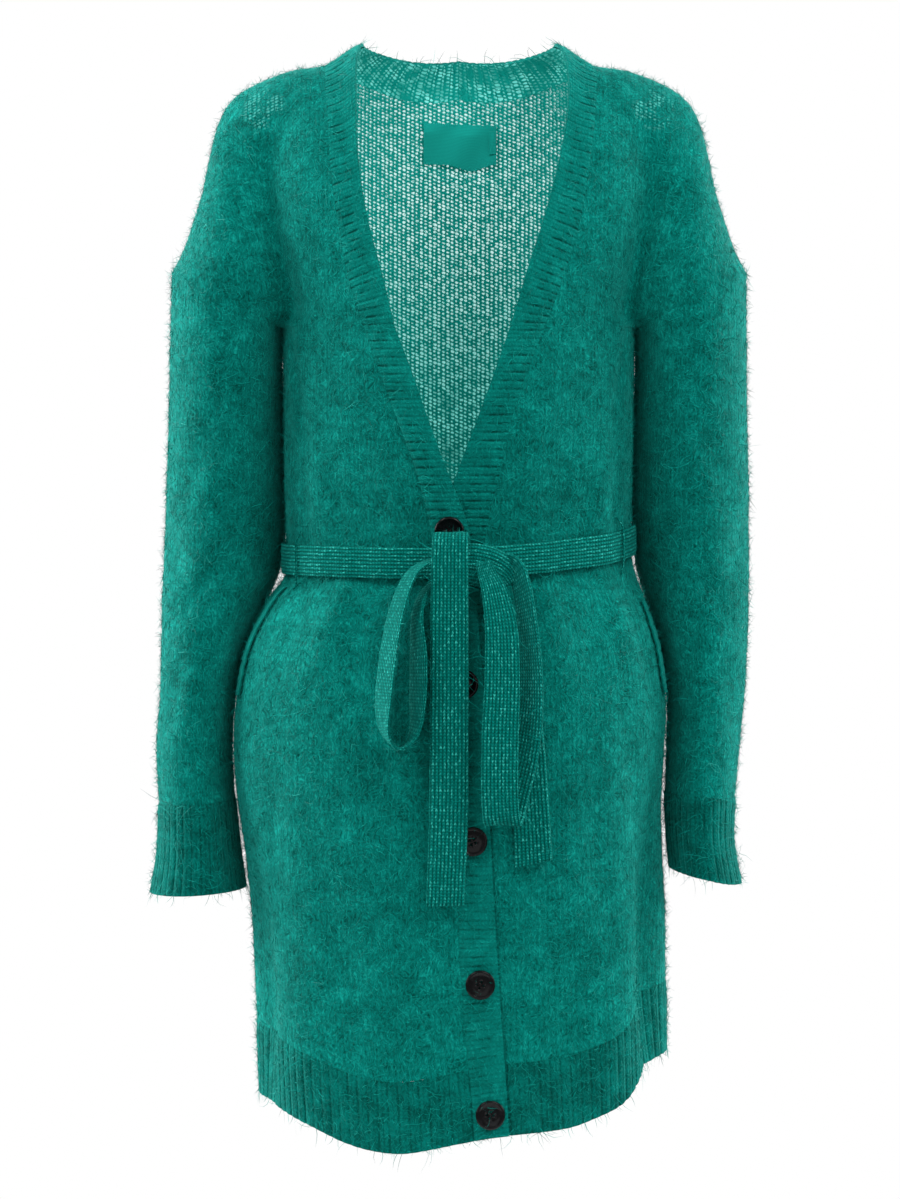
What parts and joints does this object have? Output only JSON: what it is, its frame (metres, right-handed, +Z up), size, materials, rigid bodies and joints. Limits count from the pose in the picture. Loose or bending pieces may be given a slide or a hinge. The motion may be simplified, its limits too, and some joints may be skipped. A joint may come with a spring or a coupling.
{
  "type": "belted cardigan",
  "caption": "Long V-neck cardigan in brushed mohair knit, hollow as worn, with buttons, ribbed bands and a tied knit belt.",
  "frame": {"origin": "between the shoulders at the base of the neck, where a wearer's shoulders hold the garment up", "axes": "+Z up along the body, the front faces -Y, +X is the wearer's left side"},
  "size_m": [0.499, 0.2861, 0.8984],
  "materials": {
    "mohair": "loose brushed mohair stockinette with a long soft nap",
    "rib": "ribbed mohair knit",
    "belt": "plain stockinette strip with little nap",
    "label": "satin-woven bare label",
    "button": "polished black",
    "thread": "crocheted yarn bar"
  },
  "bodies": {
    "root": {"back_panel": "mohair", "front_right": "mohair", "front_left": "mohair", "sleeve_right": "mohair", "sleeve_left": "mohair", "cuff_right": "rib", "cuff_left": "rib", "hem_back": "rib", "hem_right": "rib", "hem_left": "rib", "band_right": "rib", "band_left": "rib", "neck_band": "rib", "belt_waist": "belt", "belt_knot": "belt", "belt_loop_right": "belt", "belt_loop_left": "belt", "belt_tail_right": "belt", "belt_tail_left": "belt", "pocket_welt_right": "rib", "pocket_welt_left": "rib", "label": "label", "button_1": "button", "button_2": "button", "button_3": "button", "button_4": "button", "button_5": "button", "thread_loop_right": "thread", "thread_loop_left": "thread"}
  },
  "joints": []
}
